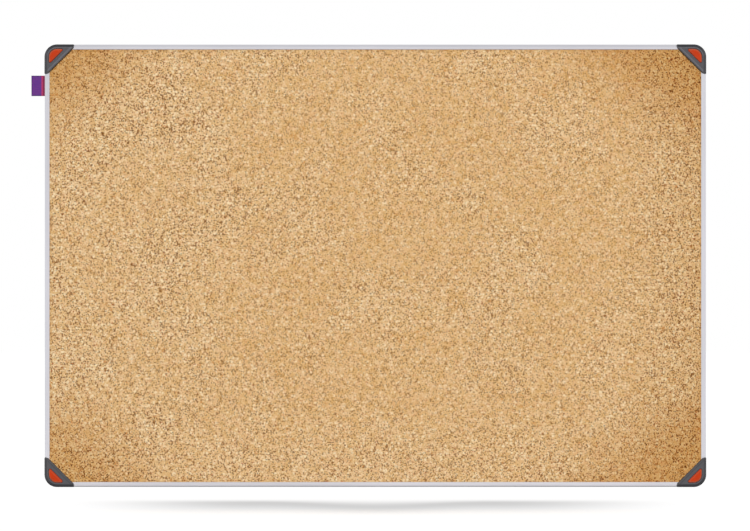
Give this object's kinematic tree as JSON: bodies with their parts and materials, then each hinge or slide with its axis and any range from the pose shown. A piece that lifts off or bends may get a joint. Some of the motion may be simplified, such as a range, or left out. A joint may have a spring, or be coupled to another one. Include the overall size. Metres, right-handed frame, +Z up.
{
  "type": "pin badge board",
  "caption": "Framed cork board with slim aluminium rails, moulded corner caps and snap-off screw covers, hung on a wall to hold pin badges or notes.",
  "frame": {"origin": "middle of the plane where the rear ends of the four corner bosses meet the wall", "axes": "+X to the right along the long side, +Z up, +Y into the wall, so the cork faces -Y"},
  "size_m": [0.9205, 0.0212, 0.6022],
  "materials": {
    "cork": "agglomerated cork, sanded",
    "softboard": "soft fibreboard",
    "kraft_board": "kraft-faced board",
    "aluminium": "satin anodised",
    "grey_plastic": "fine grained",
    "orange_plastic": "satin",
    "zinc_plate": "zinc plated",
    "zinc_screw": "zinc plated",
    "tag_cloth": "woven ribbon"
  },
  "bodies": {
    "board": {"cork_sheet": "cork", "softboard_core": "softboard", "backing_board": "kraft_board", "bottom_rail": "aluminium", "bottom_rail_screw_left": "zinc_screw", "bottom_rail_screw_right": "zinc_screw", "right_rail": "aluminium", "right_rail_screw_bottom": "zinc_screw", "right_rail_screw_top": "zinc_screw", "top_rail": "aluminium", "top_rail_screw_right": "zinc_screw", "top_rail_screw_left": "zinc_screw", "left_rail": "aluminium", "left_rail_screw_top": "zinc_screw", "left_rail_screw_bottom": "zinc_screw", "corner_key_bottom_left": "zinc_plate", "corner_cap_bottom_left": "grey_plastic", "cap_screw_bottom_left_1": "zinc_screw", "cap_screw_bottom_left_2": "zinc_screw", "corner_key_bottom_right": "zinc_plate", "corner_cap_bottom_right": "grey_plastic", "cap_screw_bottom_right_1": "zinc_screw", "cap_screw_bottom_right_2": "zinc_screw", "corner_key_top_right": "zinc_plate", "corner_cap_top_right": "grey_plastic", "cap_screw_top_right_1": "zinc_screw", "cap_screw_top_right_2": "zinc_screw", "corner_key_top_left": "zinc_plate", "corner_cap_top_left": "grey_plastic", "cap_screw_top_left_1": "zinc_screw", "cap_screw_top_left_2": "zinc_screw", "woven_tag": "tag_cloth"},
    "cover_bottom_left": {"screw_cover_bottom_left": "orange_plastic"},
    "cover_bottom_right": {"screw_cover_bottom_right": "orange_plastic"},
    "cover_top_right": {"screw_cover_top_right": "orange_plastic"},
    "cover_top_left": {"screw_cover_top_left": "orange_plastic"}
  },
  "joints": [
    {"name": "cover_bottom_left_pull", "type": "slide", "parent": "board", "child": "cover_bottom_left", "axis": [0, -1, 0], "range_m": [0, 0.02]},
    {"name": "cover_bottom_right_pull", "type": "slide", "parent": "board", "child": "cover_bottom_right", "axis": [0, -1, 0], "range_m": [0, 0.02]},
    {"name": "cover_top_right_pull", "type": "slide", "parent": "board", "child": "cover_top_right", "axis": [0, -1, 0], "range_m": [0, 0.02]},
    {"name": "cover_top_left_pull", "type": "slide", "parent": "board", "child": "cover_top_left", "axis": [0, -1, 0], "range_m": [0, 0.02]}
  ]
}
